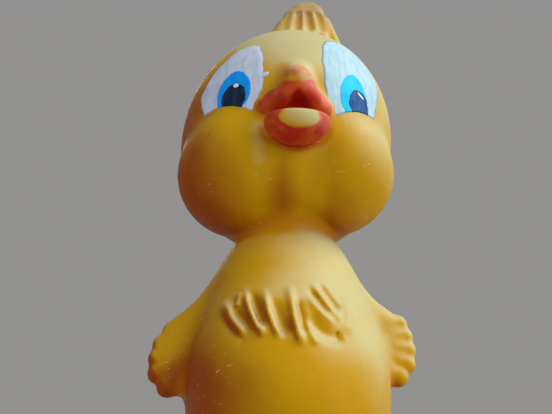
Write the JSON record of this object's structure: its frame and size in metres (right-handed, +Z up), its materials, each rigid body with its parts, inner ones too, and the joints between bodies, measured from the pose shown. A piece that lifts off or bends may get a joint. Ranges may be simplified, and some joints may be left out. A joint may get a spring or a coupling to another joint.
{
  "type": "rubber squeeze chick",
  "caption": "Hollow moulded rubber chick with a soft neck, a belly that presses in, painted eyes and beak, and a reed whistle in its base.",
  "frame": {"origin": "centre of the whole object's footprint, at the bottom of the base", "axes": "+Z up through the neck, the bird faces -Y, its left side is +X"},
  "size_m": [0.0742, 0.084, 0.172],
  "materials": {
    "rubber": "worn satin yellow ochre",
    "red_paint": "worn red paint on rubber",
    "white_paint": "brushed white enamel",
    "blue_paint": "blue enamel",
    "black_paint": "black enamel",
    "whistle_plastic": "moulded ivory plastic",
    "reed_brass": "rolled strip"
  },
  "bodies": {
    "torso": {"torso_shell": "rubber", "left_wing": "rubber", "right_wing": "rubber", "left_foot": "red_paint", "right_foot": "red_paint", "tail": "rubber", "whistle_cup": "whistle_plastic", "whistle_cap": "whistle_plastic", "reed_trough": "whistle_plastic", "reed_wedge": "whistle_plastic"},
    "belly": {"belly_panel": "rubber", "chest_feathers": "rubber"},
    "head": {"head_shell": "rubber", "crown_tuft": "rubber", "upper_beak": "red_paint", "lower_beak": "red_paint", "left_eye_white": "white_paint", "right_eye_white": "white_paint", "left_iris": "blue_paint", "right_iris": "blue_paint", "left_pupil": "black_paint", "right_pupil": "black_paint", "left_eye_glint": "white_paint", "right_eye_glint": "white_paint"},
    "reed_tongue": {"reed": "reed_brass"}
  },
  "joints": [
    {"name": "neck_nod", "type": "hinge", "parent": "torso", "child": "head", "pos_m": [0, 0.004, 0.078], "axis": [1, 0, 0], "range_deg": [-12, 12], "stiffness_Nm_per_rad": 0.8},
    {"name": "belly_press", "type": "slide", "parent": "torso", "child": "belly", "axis": [0, 1, 0], "range_m": [0, 0.006], "stiffness_N_per_m": 1500},
    {"name": "reed_beat", "type": "hinge", "parent": "torso", "child": "reed_tongue", "pos_m": [0, 0.0035, 0.0085], "axis": [1, 0, 0], "range_deg": [-1, 3], "stiffness_Nm_per_rad": 0.0001}
  ]
}
